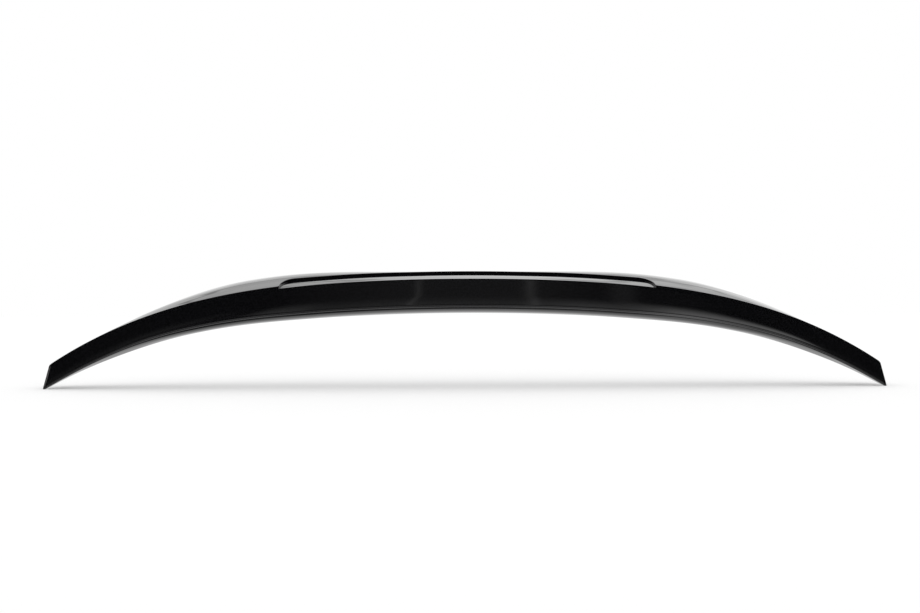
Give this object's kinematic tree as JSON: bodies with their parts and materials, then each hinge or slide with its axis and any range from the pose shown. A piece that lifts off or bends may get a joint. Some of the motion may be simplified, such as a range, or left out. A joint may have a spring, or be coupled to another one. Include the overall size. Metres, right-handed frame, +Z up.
{
  "type": "car rear spoiler",
  "caption": "Gloss black boot-lid spoiler: a wide shallow arch with a tall rear face, a recess along the trailing edge and an open ribbed shell underneath.",
  "frame": {"origin": "middle of the rear bonding land on the centre line, on the tape seat that meets the car", "axes": "+X across the car to the right as seen from behind, +Y towards the front of the car, +Z up. The rear face looks along -Y."},
  "size_m": [1.1856, 0.1328, 0.1631],
  "materials": {
    "gloss_black": "high gloss black, as moulded and painted"
  },
  "bodies": {
    "root": {"spoiler_body": "gloss_black"}
  },
  "joints": []
}
